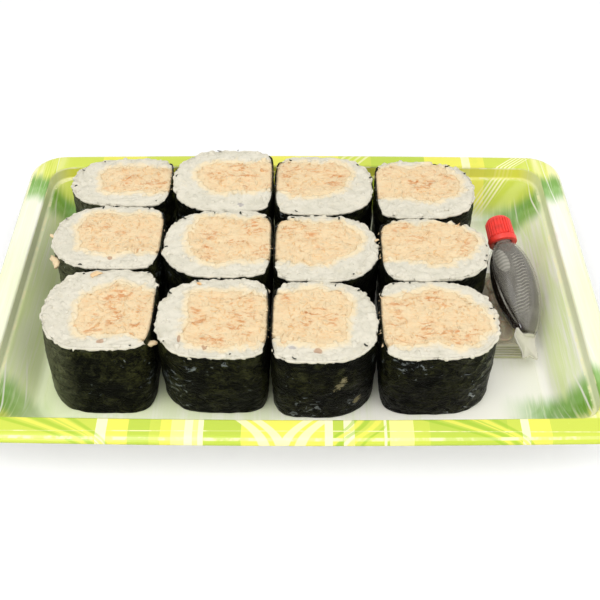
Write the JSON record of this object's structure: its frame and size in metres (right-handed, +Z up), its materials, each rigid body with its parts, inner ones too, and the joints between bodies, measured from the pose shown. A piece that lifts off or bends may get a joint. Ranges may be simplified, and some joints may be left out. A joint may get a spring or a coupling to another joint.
{
  "type": "takeaway sushi tray",
  "caption": "Shallow printed plastic tray of thick seaweed rice rolls with tuna salad, a fish-shaped soy sauce bottle and a sachet of pickled ginger.",
  "frame": {"origin": "on the table, under the middle of the tray", "axes": "+X along the long side to the right, +Y away from the eater, +Z up"},
  "size_m": [0.24, 0.167, 0.0389],
  "materials": {
    "tray": "thin formed sheet, pale green and yellow print under a soft gloss",
    "seaweed": "damp pressed seaweed, nearly black green, wrinkled, with small highlights",
    "rice": "cooked short-grain rice, moist and slightly see-through",
    "filling": "flaked tuna in mayonnaise, pale orange with darker flakes",
    "bottle": "clear soft plastic with a moulded scale pattern",
    "sauce": "nearly black liquid",
    "cap": "red ribbed plastic",
    "sachet": "clear film over pale pink ginger"
  },
  "bodies": {
    "root": {"tray": "tray", "seaweed_front_1": "seaweed", "rice_front_1": "rice", "filling_front_1": "filling", "seaweed_front_2": "seaweed", "rice_front_2": "rice", "filling_front_2": "filling", "seaweed_front_3": "seaweed", "rice_front_3": "rice", "filling_front_3": "filling", "seaweed_front_4": "seaweed", "rice_front_4": "rice", "filling_front_4": "filling", "seaweed_middle_1": "seaweed", "rice_middle_1": "rice", "filling_middle_1": "filling", "seaweed_middle_2": "seaweed", "rice_middle_2": "rice", "filling_middle_2": "filling", "seaweed_middle_3": "seaweed", "rice_middle_3": "rice", "filling_middle_3": "filling", "seaweed_middle_4": "seaweed", "rice_middle_4": "rice", "filling_middle_4": "filling", "seaweed_back_1": "seaweed", "rice_back_1": "rice", "filling_back_1": "filling", "seaweed_back_2": "seaweed", "rice_back_2": "rice", "filling_back_2": "filling", "seaweed_back_3": "seaweed", "rice_back_3": "rice", "filling_back_3": "filling", "seaweed_back_4": "seaweed", "rice_back_4": "rice", "filling_back_4": "filling", "bottle": "bottle", "soy_sauce": "sauce", "cap": "cap", "ginger_sachet": "sachet"}
  },
  "joints": []
}
